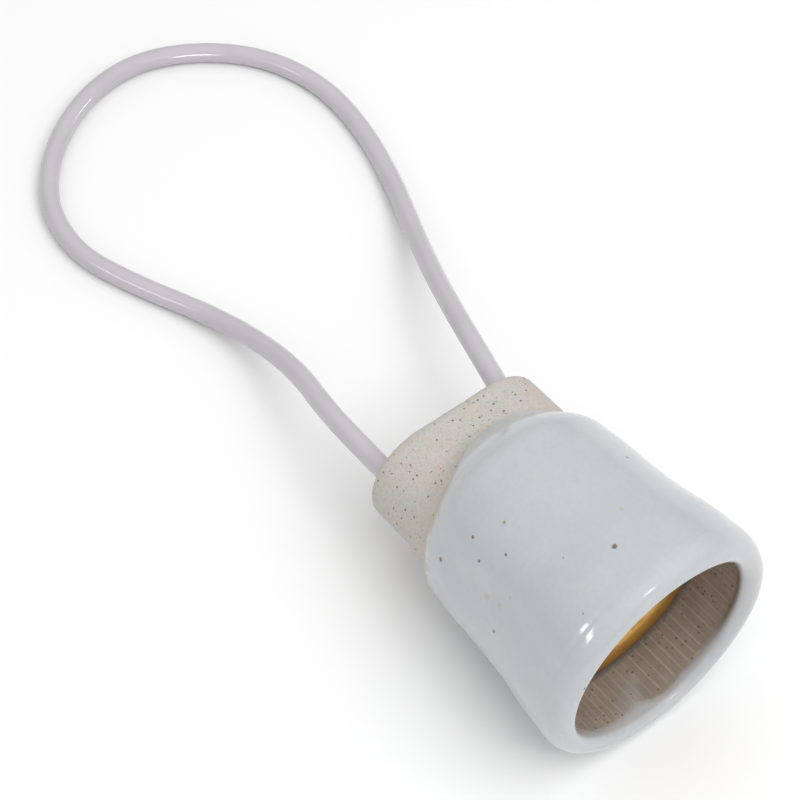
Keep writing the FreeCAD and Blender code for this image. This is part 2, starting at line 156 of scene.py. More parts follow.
class Shading:
    """One procedural material: its node tree, with short ways to add and join nodes."""

    def __init__(self, name):
        self.material = bpy.data.materials.new(name)
        self.material.use_nodes = True
        self.tree = self.material.node_tree
        self.surface = self.tree.nodes["Principled BSDF"]
        self.place = None

    def node(self, kind, inputs=(), **settings):
        made = self.tree.nodes.new("ShaderNode" + kind)
        for name, value in settings.items():
            setattr(made, name, value)
        for name, value in dict(inputs).items():
            self.feed(made, name, value)
        return made

    def feed(self, node, name, value):
        if isinstance(value, bpy.types.NodeSocket):
            self.tree.links.new(value, node.inputs[name])
        else:
            node.inputs[name].default_value = value

    def finish(self, **inputs):
        for name, value in inputs.items():
            self.feed(self.surface, name.replace("_", " "), value)
        return self.material

    def millimetres(self):
        """Place on the piece at rest, in millimetres."""
        if self.place is None:
            spot = self.node("TexCoord").outputs["Object"]
            self.place = self.node("VectorMath", {0: spot, "Scale": 1000.0}, operation="SCALE").outputs[0]
        return self.place

    def attribute(self, name):
        return self.node("Attribute", attribute_name=name).outputs["Fac"]

    def noise(self, size, detail=3.0, rough=0.5, stretch=None):
        """Noise with lumps of about this size in millimetres, from 0 to 1."""
        place = self.millimetres()
        if stretch is not None:
            place = self.node("VectorMath", {0: place, 1: stretch}, operation="MULTIPLY").outputs[0]
        return self.node("TexNoise", {"Vector": place, "Scale": 1 / size, "Detail": detail,
                                      "Roughness": rough}).outputs["Fac"]

    def math(self, operation, first, second=0.0, clamp=False):
        return self.node("Math", {0: first, 1: second}, operation=operation, use_clamp=clamp).outputs[0]

    def remap(self, value, low, high, new_low=0.0, new_high=1.0):
        return self.node("MapRange", {"Value": value, "From Min": low, "From Max": high, "To Min": new_low,
                                      "To Max": new_high}, interpolation_type="SMOOTHSTEP").outputs[0]

    def mix(self, share, first, second):
        made = self.node("Mix", data_type="RGBA")
        for socket, value in ((0, share), (6, first), (7, second)):
            if isinstance(value, bpy.types.NodeSocket):
                self.tree.links.new(value, made.inputs[socket])
            else:
                made.inputs[socket].default_value = value if socket == 0 else (*value, 1)
        return made.outputs[2]

    def mottle(self, base, colour, size, detail, low, high, share, rough=0.5):
        """Colour that patches base, up to this share, where noise of this size goes from low to high."""
        return self.mix(self.remap(self.noise(size, detail, rough), low, high, 0, share), base, colour)

    def tint(self, base, colour, where, share):
        """Base tinted towards colour, up to this share where the field is 1."""
        return self.mix(self.math("MULTIPLY", where, share), base, colour)

    def blend_values(self, share, first, second):
        made = self.node("Mix", {0: share, 2: first, 3: second}, data_type="FLOAT")
        return made.outputs[0]

    def specks(self, spacing, size, keep):
        """Round specks about spacing mm apart, up to size mm in radius; keep is the share that shows."""
        cells = self.node("TexVoronoi", {"Vector": self.millimetres(), "Scale": 1 / spacing})
        chance = self.node("SeparateColor", {"Color": cells.outputs["Color"]}).outputs["Red"]
        reach = self.remap(chance, 1 - keep, 1.0, 0.0, size / spacing)
        inside = self.math("SUBTRACT", reach, cells.outputs["Distance"])
        return self.remap(inside, 0.0, 0.3 * size / spacing)

    def bump(self, height, depth, under=None):
        """Normal raised by height (0 to 1) times depth in millimetres."""
        made = self.node("Bump", {"Strength": 1.0, "Distance": depth * MM, "Height": height})
        if under is not None:
            self.tree.links.new(under, made.inputs["Normal"])
        return made.outputs["Normal"]


def floor():
    mesh = bpy.data.meshes.new("floor")
    reach = 8.0
    mesh.from_pydata([(-reach, -reach, 0), (reach, -reach, 0), (reach, reach, 0), (-reach, reach, 0)], [],
                     [(0, 1, 2, 3)])
    ground = bpy.data.objects.new("floor", mesh)
    bpy.context.scene.collection.objects.link(ground)
    paint = Shading("pale_floor").finish(Base_Color=(0.88, 0.88, 0.88, 1), Roughness=0.95)
    mesh.materials.append(paint)


floor()

# ---- mesh helpers ----

def add_mesh(name, corners, faces, slot, body="holder"):
    """New closed object from corners in the holder's frame, its mesh in metres in the ground frame."""
    mesh = bpy.data.meshes.new(name)
    mesh.from_pydata([HOLDER @ Vector(corner) for corner in corners], [], faces)
    mesh.validate()
    outward = bmesh.new()
    outward.from_mesh(mesh)
    bmesh.ops.recalc_face_normals(outward, faces=outward.faces)
    outward.to_mesh(mesh)
    outward.free()
    mesh.shade_smooth()
    made = bpy.data.objects.new(name, mesh)
    bpy.context.scene.collection.objects.link(made)
    mesh.materials.append(PAINTS[slot])
    if body:
        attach(made, body)
    return made


def ring_faces(rings, around, closed=False):
    """Quads between neighbouring rings of one length; closed joins the last ring to the first."""
    faces = []
    for ring in range(rings if closed else rings - 1):
        start, after = ring * around, (ring + 1) % rings * around
        for step in range(around):
            turn = (step + 1) % around
            faces.append((start + step, after + step, after + turn, start + turn))
    return faces


def cap_faces(start, around, pole):
    """Fan of triangles from one ring to its pole."""
    return [(start + step, start + (step + 1) % around, pole) for step in range(around)]


def closed_by_poles(rings, poles):
    """Corners and faces of a grid of rings with a pole, an (x, y, z) point, at each end."""
    count, around = rings.shape[0] * rings.shape[1], rings.shape[1]
    faces = ring_faces(len(rings), around) + cap_faces(0, around, count)
    faces += [face[::-1] for face in cap_faces(count - around, around, count + 1)]
    return [*rings.reshape(-1, 3), *poles], faces


def smooth_step(value, low, high):
    share = np.clip((value - low) / (high - low), 0, 1)
    return share * share * (3 - 2 * share)


def through(points, x, last_slope=None):
    """Smooth curve through (x, radius) points, each slope taken from the neighbours."""
    xs, radii = np.array(points).T
    slopes = np.gradient(radii, xs)
    if last_slope is not None:
        slopes[-1] = last_slope
    left = np.clip(np.searchsorted(xs, x) - 1, 0, len(xs) - 2)
    width = xs[left + 1] - xs[left]
    t = (x - xs[left]) / width
    return ((1 + 2 * t) * (1 - t) ** 2 * radii[left] + t * (1 - t) ** 2 * width * slopes[left]
            + t * t * (3 - 2 * t) * radii[left + 1] + t * t * (t - 1) * width * slopes[left + 1])


def by_angle(table, angles):
    """Periodic smooth value by angle, from (degrees, value) pairs."""
    degrees, values = np.array(table).T
    degrees = np.concatenate([degrees - 360, degrees, degrees + 360])
    values = np.tile(values, 3)
    return through(np.column_stack([degrees, values]), np.degrees(angles) % 360)


def place_rings(x, radius, angles):
    """Corners from x, radius and angle round the holder's axis."""
    return np.stack([x, radius * np.cos(angles), radius * np.sin(angles)], axis=-1)


def push_out(rings, amount):
    """Move each corner of a grid of rings along the grid's outward normal."""
    along = np.gradient(rings, axis=0)
    around = np.roll(rings, -1, axis=1) - np.roll(rings, 1, axis=1)
    normal = np.cross(around, along)
    size = np.linalg.norm(normal, axis=-1, keepdims=True)
    return rings + normal / np.maximum(size, 1e-9) * amount[..., None]


# ---- outline of the porcelain body ----

RIBS = 72
AROUND = RIBS * 10
ANGLES = np.arange(AROUND) * TAU / AROUND
# by angle in degrees: x of the glaze's edge outside and in the mouth, the fillet where the block meets the
# bell, and how far the bell's foot is moved forward
GLAZE_EDGE = [(0, 16.9), (12, 15.2), (25, 12.4), (37, 10.3), (46, 9.3), (54, 8.8), (67, 8.1),
              (76, 7.8), (85, 7.8), (94, 8.1), (108, 8.7), (115, 10.0), (124, 12.0), (136, 14.2),
              (147, 15.5), (160, 15.9), (170, 16.2), (177, 16.7), (186, 16.8), (200, 15.4), (215, 13.6),
              (231, 11.6), (247, 10.4), (268, 10.1), (290, 10.5), (311, 11.4), (326, 12.6), (341, 14.8)]
GLAZE_INSIDE = [(0, 50.6), (30, 50.3), (70, 50.5), (140, 50.4), (185, 50.5), (219, 50.2),
                (235, 50.6), (250, 50.3), (261, 49.9), (266, 49.5), (271, 49.9), (278, 50.7),
                (297, 50.5), (318, 50.3), (335, 50.7)]
FILLET = [(0, 0.8), (30, 0.6), (60, 0.5), (82, 0.9), (100, 2.0), (125, 2.6), (150, 2.2),
          (168, 1.2), (178, 0.7), (200, 0.9), (240, 1.6), (290, 1.5), (330, 1.0)]
FOOT_SHIFT = [(0, 0.2), (30, 0.4), (55, 0.6), (78, 1.1), (100, 1.7), (118, 1.7), (140, 1.0),
              (165, 0.2), (180, 0), (270, 0), (330, 0)]
GLAZE_THICKNESS = 0.06
LIP_INNER_RINGS = 15
CREST_RADIUS = LIP_RADIUS - LIP_ROUND       # at the lip's foremost point
BLOCK_SOFTENING = 60                        # passes that ease the block's flat top into its round sides
RIB_HEIGHTS = np.random.default_rng(7).uniform(0.35, 1.0, RIBS)


def stadium(half_width, half_height, angles):
    """Polar radius of an oval that is flat above and below and half-round at both sides."""
    reach = half_width - half_height
    across, up = np.abs(np.cos(angles)), np.abs(np.sin(angles))
    flat = half_height / np.maximum(up, 1e-6)
    end = reach * across + np.sqrt(np.maximum(half_height ** 2 - (reach * up) ** 2, 0))
    return np.where(flat * across <= reach, flat, end)


def softer(radius, steps):
    """Polar outline with its corners eased over a few steps each way."""
    for _ in range(steps):
        radius = (np.roll(radius, 1) + 2 * radius + np.roll(radius, -1)) / 4
    return radius


def outer_radius(x, angles):
    """Rear block and bell as one surface, joined by a fillet that is tight at one side and soft elsewhere."""
    block = softer(stadium(BLOCK_HALF_WIDTH, BLOCK_HALF_HEIGHT, angles), BLOCK_SOFTENING)
    along = x - by_angle(FOOT_SHIFT, angles) * (1 - smooth_step(x, 8.0, 15.5))
    bell = through(BELL_POINTS, along, math.tan(math.radians(LIP_TURN)) * LIP_ROUND / LIP_ROUND_LENGTH)
    bell = np.where(along < BELL_POINTS[0][0], BELL_POINTS[0][1] - 2 * (BELL_POINTS[0][0] - along), bell)
    fillet = by_angle(FILLET, angles)
    return (block + bell + np.sqrt((block - bell) ** 2 + fillet ** 2)) / 2


def bump_at(angles, middle, reach):
    """Smooth hump of height 1 round an angle, both in degrees."""
    gap = (np.degrees(angles) - middle + 180) % 360 - 180
    return np.exp(-(gap / reach) ** 2)


def unevenness(x, angles):
    """Slow waves of a hand-finished, fired body, none on the side that it lies on."""
    waves = (0.5 * np.sin(2 * angles + 0.12 * x + 0.6) + 0.35 * np.sin(3 * angles - 0.21 * x + 2.1)
             + 0.3 * np.sin(5 * angles + 0.33 * x + 4.0)
             + 0.3 * np.sin(0.45 * x + 1.5 * np.sin(angles) + 1.0))
    dents = (-0.40 * bump_at(angles, 184, 10) * np.exp(-((x - 19.5) / 3.2) ** 2)
             - 0.35 * bump_at(angles, 38, 32) * smooth_step(x, 47.5, 51))
    return 0.09 * waves * smooth_step(np.sin(angles), -0.85, 0.1) + dents


# ---- materials ----

# specks and ochre marks of the glaze: x, degrees round the bell, radius
GLAZE_SPECKS = [(23.8, 140, 0.30), (20.4, 162.5, 0.42), (30.4, 134.5, 0.24), (27.1, 146, 0.26),
                (26.6, 125, 0.15), (42.7, 100.5, 0.45), (35.0, 168, 0.3), (52.9, 155, 0.28),
                (38.2, 118, 0.14), (47.0, 128, 0.16), (33.0, 205, 0.35), (25.0, 320, 0.3),
                (40.0, 20, 0.25), (29.0, 55, 0.28), (36.0, 345, 0.3), (45.0, 230, 0.25)]
GLAZE_MARKS = [(31.3, 156, 0.6), (34.2, 154, 0.45), (35.2, 147, 0.35), (26.6, 125, 0.4),
               (38.0, 85, 0.4), (30.0, 250, 0.6), (24.0, 30, 0.5)]


def on_bell(x, degrees):
    """Place in the ground frame, in millimetres, of a point on the bell's outside."""
    angle = math.radians(degrees)
    spot, turn = np.array([min(x, BELL_POINTS[-1][0])]), np.array([angle])
    radius = float((outer_radius(spot, turn) + GLAZE_THICKNESS + unevenness(spot, turn))[0])
    if x > LENGTH - LIP_ROUND:
        radius = CREST_RADIUS
    return tuple(HOLDER @ Vector((x, radius * math.cos(angle), radius * math.sin(angle))) / MM)


def bell_spots(look, table):
    """Ragged round spots on the bell, 0 to 1, from (x, degrees, radius)."""
    place = look.millimetres()
    spots = 0.0
    for x, degrees, size in table:
        away = look.node("VectorMath", {0: place, 1: on_bell(x, degrees)}, operation="DISTANCE")
        ragged = look.remap(look.noise(0.5, 2.0), 0.2, 0.8, -0.08, 0.08)
        wobble = look.math("ADD", away.outputs["Value"], ragged)
        spots = look.math("MAXIMUM", look.remap(wobble, size * 1.35, size * 0.6), spots)
    return spots


def glaze_colour(look, stain):
    """Cool white glaze with cloudy patches, ochre at its stained edge, buried and open specks."""
    white = look.mix(look.remap(look.noise(9.0, 2.0), 0.3, 0.7), (0.466, 0.490, 0.509), (0.500, 0.509, 0.524))
    white = look.mottle(white, (0.485, 0.485, 0.456), 3.0, 4.0, 0.58, 0.75, 0.35)
    white = look.mottle(white, (0.436, 0.451, 0.461), 0.8, 3.0, 0.35, 0.7, 0.3)
    white = look.tint(white, (0.40, 0.375, 0.29), stain, 0.7)
    white = look.tint(white, (0.39, 0.34, 0.24), bell_spots(look, GLAZE_MARKS), 0.4)
    white = look.tint(white, (0.13, 0.085, 0.06), bell_spots(look, GLAZE_SPECKS), 0.88)
    return look.tint(white, (0.26, 0.22, 0.17), look.specks(3.4, 0.25, 0.3), 0.22)


def block_colour(look, stain):
    """Warm grey unglazed body of the block."""
    bare = look.mix(look.remap(look.noise(5.0, 3.0), 0.35, 0.65),
                    (0.503, 0.499, 0.465), (0.541, 0.494, 0.461))
    bare = look.mottle(bare, (0.556, 0.451, 0.380), 2.2, 4.0, 0.47, 0.72, 0.6)
    bare = look.mottle(bare, (0.399, 0.366, 0.328), 0.35, 2.0, 0.42, 0.7, 0.5)
    return look.tint(bare, (0.427, 0.408, 0.332), stain, 0.6)


def mouth_colour_and_shade(look, film):
    """Browner body inside the mouth, darkened as painted shade of the deep mouth, with ribs painted pale as
    painted highlights, painted shade in the gap beside the shell, and a film of glaze.
    """
    # brown-grey body inside the mouth, darker than its own colour: painted shade of the deep mouth
    inside = look.mix(look.remap(look.noise(4.0, 4.0), 0.3, 0.7),
                      (0.270, 0.223, 0.181), (0.335, 0.279, 0.228))
    inside = look.mottle(inside, (0.223, 0.186, 0.153), 0.35, 3.0, 0.4, 0.7, 0.4)
    inside = look.tint(inside, (0.242, 0.144, 0.074), look.specks(2.4, 0.6, 0.4), 0.5)
    inside = look.tint(inside, (0.158, 0.093, 0.056), look.specks(1.1, 0.32, 0.4), 0.55)
    # pale lines along the ribs: painted highlight
    inside = look.tint(inside, (0.521, 0.465, 0.391), look.attribute("rib"), 0.65)
    # near-black band at the ledge beside the shell: painted shade
    inside = look.tint(inside, (0.056, 0.042, 0.033), look.attribute("gap"), 0.85)
    return look.tint(inside, (0.40, 0.40, 0.395), film, 0.6)


def porcelain_paint():
    """Glaze on the bell and lip, bare speckled body on the block, and inside the mouth a darker bare body
    whose darkness is partly painted shade.
    """
    look = Shading("porcelain")
    glaze, mouth = look.attribute("glaze"), look.attribute("mouth")
    stain, film = look.attribute("stain"), look.attribute("film")
    wander = look.math("MULTIPLY", look.remap(look.noise(1.1, 4.0), 0.3, 0.7, -0.1, 0.1),
                       look.blend_values(mouth, 1.0, 0.25))
    glazed = look.remap(look.math("ADD", glaze, wander), -0.12, 0.17)

    bare = look.mix(mouth, block_colour(look, stain), mouth_colour_and_shade(look, film))
    bare = look.tint(bare, (0.27, 0.17, 0.11), look.specks(0.65, 0.2, 0.5), 0.4)
    bare = look.tint(bare, (0.105, 0.06, 0.045), look.specks(0.72, 0.27, 0.36), 0.8)
    colour = look.mix(glazed, bare, glaze_colour(look, stain))

    grain = look.bump(look.noise(0.35, 6.0, 0.65), 0.05)
    peel = look.bump(look.noise(2.8, 1.5), 0.014)
    pits = look.bump(look.specks(2.6, 0.3, 0.25), -0.05, peel)
    normal = look.node("Mix", data_type="VECTOR")
    for socket, value in ((0, glazed), (4, grain), (5, pits)):
        look.tree.links.new(value, normal.inputs[socket])
    dull = look.blend_values(look.math("MULTIPLY", film, mouth), 0.85, 0.4)
    rough = look.blend_values(glazed, dull, look.remap(look.noise(6.0), 0.3, 0.7, 0.10, 0.18))
    return look.finish(Base_Color=colour, Roughness=rough, Normal=normal.outputs[1], IOR=1.52,
                       Coat_Weight=look.math("MULTIPLY", glazed, 0.25), Coat_Roughness=0.04)


def metal_paint(name, bright, dull, rough, tarnish=0.4):
    look = Shading(name)
    age = look.remap(look.noise(2.0, 5.0, 0.6), 0.35, 0.7)
    colour = look.mix(age, bright, dull)
    colour = look.mottle(colour, tuple(part * 0.55 for part in dull), 0.5, 3.0, 0.6, 0.8, tarnish)
    scratches = look.noise(0.3, 4.0, 0.6, stretch=(1, 6, 1))
    return look.finish(Base_Color=colour, Metallic=1.0, Roughness=look.remap(age, 0, 1, rough, rough + 0.16),
                       Normal=look.bump(scratches, 0.012))


def insulation_paint():
    look = Shading("wire_insulation")
    colour = look.mix(look.remap(look.noise(7.0, 3.0), 0.3, 0.7),
                      (0.490, 0.465, 0.499), (0.515, 0.494, 0.520))
    colour = look.mottle(colour, (0.419, 0.393, 0.393), 0.9, 5.0, 0.6, 0.8, 0.35, rough=0.6)
    colour = look.tint(colour, (0.251, 0.218, 0.201), look.specks(5.0, 0.2, 0.25), 0.4)
    wear = look.bump(look.noise(0.5, 5.0, 0.6), 0.012)
    waves = look.bump(look.noise(4.0, 1.0), 0.05, wear)
    return look.finish(Base_Color=colour, Roughness=look.remap(look.noise(2.5, 4.0), 0.3, 0.7, 0.13, 0.20),
                       Normal=waves)


def compound_paint():
    look = Shading("sealing_compound")
    colour = look.mix(look.remap(look.noise(2.5, 5.0), 0.3, 0.7),
                      (0.482, 0.465, 0.421), (0.553, 0.526, 0.474))
    colour = look.tint(colour, (0.246, 0.210, 0.175), look.specks(1.3, 0.12, 0.3), 0.6)
    grain = look.bump(look.noise(0.25, 6.0, 0.7), 0.06)
    return look.finish(Base_Color=colour, Roughness=0.8, Normal=look.bump(look.noise(1.6, 3.0), 0.12, grain))


PAINTS = {
    "porcelain": porcelain_paint(),
    "brass": metal_paint("brass", (0.80, 0.48, 0.14), (0.68, 0.38, 0.105), 0.33, 0.12),
    "spring_bronze": metal_paint("spring_bronze", (0.78, 0.48, 0.24), (0.55, 0.32, 0.16), 0.30),
    "copper": metal_paint("copper", (0.85, 0.44, 0.28), (0.55, 0.27, 0.17), 0.28),
    "wire_insulation": insulation_paint(),
    "sealing_compound": compound_paint(),
}


# ---- porcelain body ----

def pocket_rings(angles):
    """From the middle of the pocket's floor to its rounded edge in the rear face."""
    edge = 0.5
    outline = stadium(POCKET_HALF_WIDTH, POCKET_HALF_HEIGHT, angles)
    rings = [(POCKET_DEPTH, outline * share) for share in (0.3, 0.7, 0.99)]
    rings += [(x, outline) for x in (POCKET_DEPTH - 0.1, 7.0, 4.0, 2.5, 1.6, 1.1, 0.8, edge)]
    for turn in np.radians(np.linspace(15, 90, 6)):
        grow = edge * (1 - math.cos(turn))
        rings.append((edge * (1 - math.sin(turn)),
                      stadium(POCKET_HALF_WIDTH + grow, POCKET_HALF_HEIGHT + grow, angles)))
    return rings


def block_rings(angles, inner, glaze_edge):
    """From the pocket's edge over the rear face, round its own edge and along the block to the glaze."""
    round_start = stadium(BLOCK_HALF_WIDTH - BLOCK_EDGE_ROUND, BLOCK_HALF_HEIGHT - BLOCK_EDGE_ROUND, angles)
    rings = [(0.0, inner + (round_start - inner) * share) for share in (0.25, 0.5, 0.75)]
    for turn in np.radians(np.linspace(0, 80, 9)):
        inset = BLOCK_EDGE_ROUND * (1 - math.sin(turn))
        side = stadium(BLOCK_HALF_WIDTH - inset, BLOCK_HALF_HEIGHT - inset, angles)
        rings.append((BLOCK_EDGE_ROUND * (1 - math.cos(turn)),
                      softer(side, round(BLOCK_SOFTENING * turn / math.radians(80)))))
    first = BLOCK_EDGE_ROUND * 0.99
    for share in 1 - np.linspace(1, 0, 40)[:-1] ** 1.5:
        x = first + (glaze_edge - first) * share
        rings.append((x, outer_radius(x, angles)))
    return rings


def bell_rings(angles, glaze_edge):
    """From the glaze's edge over the shoulder and the skirt to the foremost point of the lip."""
    rings = []
    for share in np.linspace(0, 1, 64)[:-1] ** 1.6:
        x = glaze_edge + (SHOULDER_X - glaze_edge) * share
        rings.append((x, outer_radius(x, angles)))
    lip_x = LENGTH - LIP_ROUND_LENGTH
    lip_start = lip_x - LIP_ROUND_LENGTH * math.sin(math.radians(LIP_TURN))
    for x in np.linspace(SHOULDER_X, lip_start, 60)[:-1]:
        rings.append((x, outer_radius(np.full_like(angles, x), angles)))
    for turn in np.radians(np.linspace(90 + LIP_TURN, 0, 26)):
        rings.append((lip_x + LIP_ROUND_LENGTH * math.cos(turn), CREST_RADIUS + LIP_ROUND * math.sin(turn)))
    return rings


def inner_lip_rings():
    """From the foremost point of the lip to the mouth's wall."""
    turns = np.radians(np.linspace(0, -90, LIP_INNER_RINGS + 1)[1:])
    return [(LENGTH - LIP_INNER_ROUND + LIP_INNER_ROUND * math.cos(turn),
             CREST_RADIUS + LIP_INNER_ROUND * math.sin(turn)) for turn in turns]


def mouth_rings():
    """Along the mouth's wall, over the ledge and down the bore to the middle of its floor."""
    bore_edge = 1.5
    wall = np.linspace(LENGTH - LIP_INNER_ROUND, LEDGE_X + LEDGE_CORNER, 44)[1:]
    rings = [(x, MOUTH_RADIUS) for x in wall]
    for turn in np.radians(np.linspace(75, 0, 6)):
        rings.append((LEDGE_X + LEDGE_CORNER * (1 - math.cos(turn)),
                      MOUTH_RADIUS - LEDGE_CORNER * (1 - math.sin(turn))))
    rings += [(LEDGE_X, radius) for radius in (17.0, 16.7)]
    for turn in np.radians(np.linspace(0, 90, 7)):
        rings.append((LEDGE_X - bore_edge * (1 - math.cos(turn)),
                      BORE_RADIUS + bore_edge * (1 - math.sin(turn))))
    rings += [(x, BORE_RADIUS) for x in (36.0, 30.0, 24.0, FLOOR_X + 0.2)]
    rings += [(FLOOR_X, radius) for radius in (BORE_RADIUS - 0.2, 10.0, 5.0, 2.0)]
    return rings


def stations(angles):
    """x and radius of every ring, and the rings that end the pocket, start the glaze and end the lip."""
    glaze_edge = by_angle(GLAZE_EDGE, angles)
    pocket = pocket_rings(angles)
    block = block_rings(angles, pocket[-1][1], glaze_edge)
    bell, lip = bell_rings(angles, glaze_edge), inner_lip_rings()
    rings = pocket + block + bell + lip + mouth_rings()
    xs = np.array([np.broadcast_to(x, angles.shape) for x, _ in rings], float)
    radii = np.array([np.broadcast_to(radius, angles.shape) for _, radius in rings], float)
    edge_ring = len(pocket) + len(block)
    return xs, radii, len(pocket) - 1, edge_ring, edge_ring + len(bell) + len(lip) - 1


def coat_thickness(from_edge, from_inner, glaze, crisp, over_lip):
    """Glaze with a roll along its crisp edge outside, blended over the lip into the thin coat inside."""
    roll = (0.02 + 0.16 * crisp ** 2) * np.exp(-((from_edge - 0.55) / 0.4) ** 2)
    coat = (GLAZE_THICKNESS + 0.12 * crisp) * smooth_step(from_edge, -0.05, 0.5) + roll
    coat = np.where(from_edge > -0.5, coat, 0) * smooth_step(glaze, -0.05, 0.3)
    inner_coat = 0.1 * smooth_step(from_inner, -0.02, 0.25)
    return coat + (inner_coat - coat) * over_lip


def mouth_ribs(angles, on_wall, depth):
    """Fine ribs along the mouth's wall, each as strong as its own draw, from 0 to 1."""
    turn = angles * RIBS / TAU + 0.12 * np.sin(3 * angles)
    height = RIB_HEIGHTS[np.floor(turn).astype(int) % RIBS]
    return height * np.exp(-((turn % 1.0 - 0.5) / 0.08) ** 2) * on_wall * smooth_step(depth, 0.9, 2.4)


def porcelain_body():
    """Block, bell, mouth and bore as one closed mesh, with attributes that tell its paint what is where."""
    angles = ANGLES
    x, radius, rear_ring, edge_ring, wall_ring = stations(angles)
    swell = 0.32 * bump_at(angles, 28, 34) * (1 - smooth_step(x, 9.0, 13.0))
    ring = np.arange(len(x))[:, None]
    radius = radius + swell * (ring > rear_ring) * (ring < wall_ring)
    rings = place_rings(x, radius, angles)
    steps = np.linalg.norm(np.diff(rings, axis=0), axis=-1)
    travel = np.vstack([np.zeros(AROUND), np.cumsum(steps, axis=0)])
    outside = (ring <= wall_ring).astype(float)
    crest = wall_ring - LIP_INNER_RINGS     # ring at the lip's foremost point

    from_edge = travel - travel[edge_ring]
    inner_edge = travel[wall_ring] + (x[wall_ring] - by_angle(GLAZE_INSIDE, angles))
    from_inner = (inner_edge - travel) * 0.24
    crisp = smooth_step(np.cos(angles - math.radians(30)), 0.1, 0.8)
    outer_glaze = from_edge * (0.2 + 0.8 * crisp)
    glaze = np.where(ring < crest - 5, outer_glaze, np.minimum(from_edge, from_inner))

    over_lip = smooth_step(ring, crest - 13, crest + 9)
    coat = coat_thickness(from_edge, from_inner, glaze, crisp, over_lip)

    depth = np.where(ring >= wall_ring, x[wall_ring] - x, 0)
    on_wall = (ring >= wall_ring) * smooth_step(x, LEDGE_X - 0.1, LEDGE_X + 0.5)
    # rib raises the ribs and also marks where the paint puts their painted highlight
    rib = mouth_ribs(angles, on_wall, depth)
    lean = np.degrees(angles) - 266 - 1.8 * np.maximum(50.5 - x, 0)
    # gap: band at the ledge beside the shell's flange, painted dark there as painted shade
    gap = 1 - smooth_step(x, LEDGE_X, LEDGE_X + 1.3)
    gap = gap * (ring > wall_ring) * smooth_step(radius, 14.5, 16.0)
    film = np.exp(-np.where(lean < 0, lean / 11, lean / 3) ** 2) * on_wall * smooth_step(x, 43.0, 49.0)
    uneven = unevenness(x, angles) * smooth_step(ring, edge_ring - 45, edge_ring - 30)
    uneven = uneven * (1 - smooth_step(ring, crest, wall_ring))
    notch = -0.45 * np.exp(-((x - 0.7) / 0.8) ** 2 - ((np.degrees(angles) - 75) / 1.6) ** 2)
    notch = notch * (ring < edge_ring)
    bead = 0.8 * bump_at(angles, 5, 42) * np.exp(-((x - 51.3) / 0.9) ** 2)
    bead = bead * smooth_step(ring, crest, crest + 6)
    rings = push_out(rings, coat + bead + 0.12 * rib + uneven + notch)

    corners, faces = closed_by_poles(rings, [(POCKET_DEPTH, 0, 0), (FLOOR_X, 0, 0)])
    body = add_mesh("porcelain_bell", corners, faces, "porcelain")
    stain = np.exp(-((from_edge + 0.4) / 1.0) ** 2) * bump_at(angles, 140, 24) * outside
    for name, values, at_poles in (("glaze", glaze, -5), ("rib", rib, 0), ("mouth", 1 - outside + 0 * x, 1),
                                   ("stain", stain, 0), ("film", film, 0), ("gap", gap, 0)):
        layer = body.data.attributes.new(name, "FLOAT", "POINT")
        layer.data.foreach_set("value", np.append(np.clip(values, -5, 5), [at_poles] * 2).astype(np.float32))
    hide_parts("porcelain_body")


porcelain_body()


# ---- screw shell ----

def shell_profile():
    """(x, radius, share of the thread's wave) along the inner face, from the base hole to the flange."""
    corner = 0.8
    base = np.linspace(BASE_HOLE_RADIUS, THREAD_MID_RADIUS - corner - 0.1, 8)
    path = [(FLOOR_X + SHEET, radius, 0) for radius in base]
    for turn in np.radians(np.linspace(0, 90, 6))[1:]:
        path.append((FLOOR_X + SHEET + corner * (1 - math.cos(turn)),
                     THREAD_MID_RADIUS - corner * (1 - math.sin(turn)), 0))
    start, end = THREAD_START, THREAD_START + THREAD_TURNS * THREAD_PITCH
    for x in np.linspace(FLOOR_X + SHEET + corner + 0.2, end, 130):
        fade = smooth_step(x, start - 0.6, start + 1.0) * (1 - smooth_step(x, end - 1.6, end))
        path.append((x, THREAD_MID_RADIUS, float(fade)))
    flare_x, flare_end = 38.9, math.radians(72)
    deep = (LEDGE_X + SHEET - flare_x) / math.sin(flare_end)
    wide = (FLANGE_RADIUS - 0.2 - THREAD_MID_RADIUS) / (1 - math.cos(flare_end))
    for turn in np.linspace(0, flare_end, 24):
        path.append((flare_x + deep * math.sin(turn), THREAD_MID_RADIUS + wide * (1 - math.cos(turn)), 0))
    return np.array(path)


def screw_shell():
    """Sleeve of one thickness: inner face, rounded rim, outer face and the base's hole."""
    around = 240
    angles = np.arange(around) * TAU / around
    path = shell_profile()
    x = np.repeat(path[:, :1], around, axis=1)
    wave = np.sin(TAU * (x - THREAD_START) / THREAD_PITCH - angles) * THREAD_WAVE * path[:, 2:]
    radius = path[:, 1:2] + wave
    inner = place_rings(x, radius, angles)
    outer = push_out(inner, np.full(x.shape, SHEET))
    rim = (inner[-1] + outer[-1]) / 2 * [1, 0, 0]
    grown = 1 + 0.2 / np.linalg.norm(inner[-1, :, 1:], axis=-1, keepdims=True)
    edge = rim + (inner[-1] + outer[-1]) / 2 * [0, 1, 1] * grown
    rings = np.concatenate([inner, edge[None], outer[::-1]])
    faces = ring_faces(len(rings), around, closed=True)
    shell = add_mesh("threaded_shell", rings.reshape(-1, 3), faces, "brass")
    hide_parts("screw_shell")


screw_shell()


# ---- rivets and contact ----

